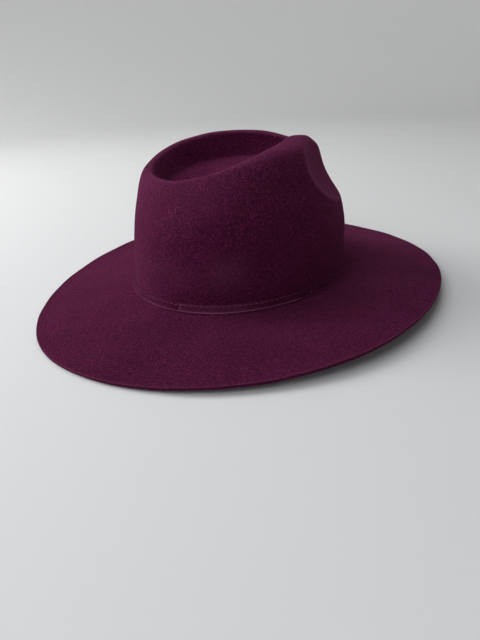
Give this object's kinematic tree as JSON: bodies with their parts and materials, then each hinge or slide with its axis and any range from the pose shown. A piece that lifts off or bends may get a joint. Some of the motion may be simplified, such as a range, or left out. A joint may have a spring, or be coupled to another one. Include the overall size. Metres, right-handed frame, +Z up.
{
  "type": "wide-brim felt fedora",
  "caption": "Stiff felt hat with a wide, nearly flat brim, a teardrop crown pinched at the front, and a narrow felt band round the foot of the crown.",
  "frame": {"origin": "middle of the hat's footprint, on the surface that its brim stands on", "axes": "+Z up, -Y towards the front of the hat, +X towards the wearer's left"},
  "size_m": [0.3436, 0.3878, 0.1321],
  "materials": {
    "felt": "matte wool felt, burgundy",
    "band_felt": "matte felt strip, burgundy"
  },
  "bodies": {
    "root": {"felt_body": "felt", "hat_band": "band_felt"}
  },
  "joints": []
}
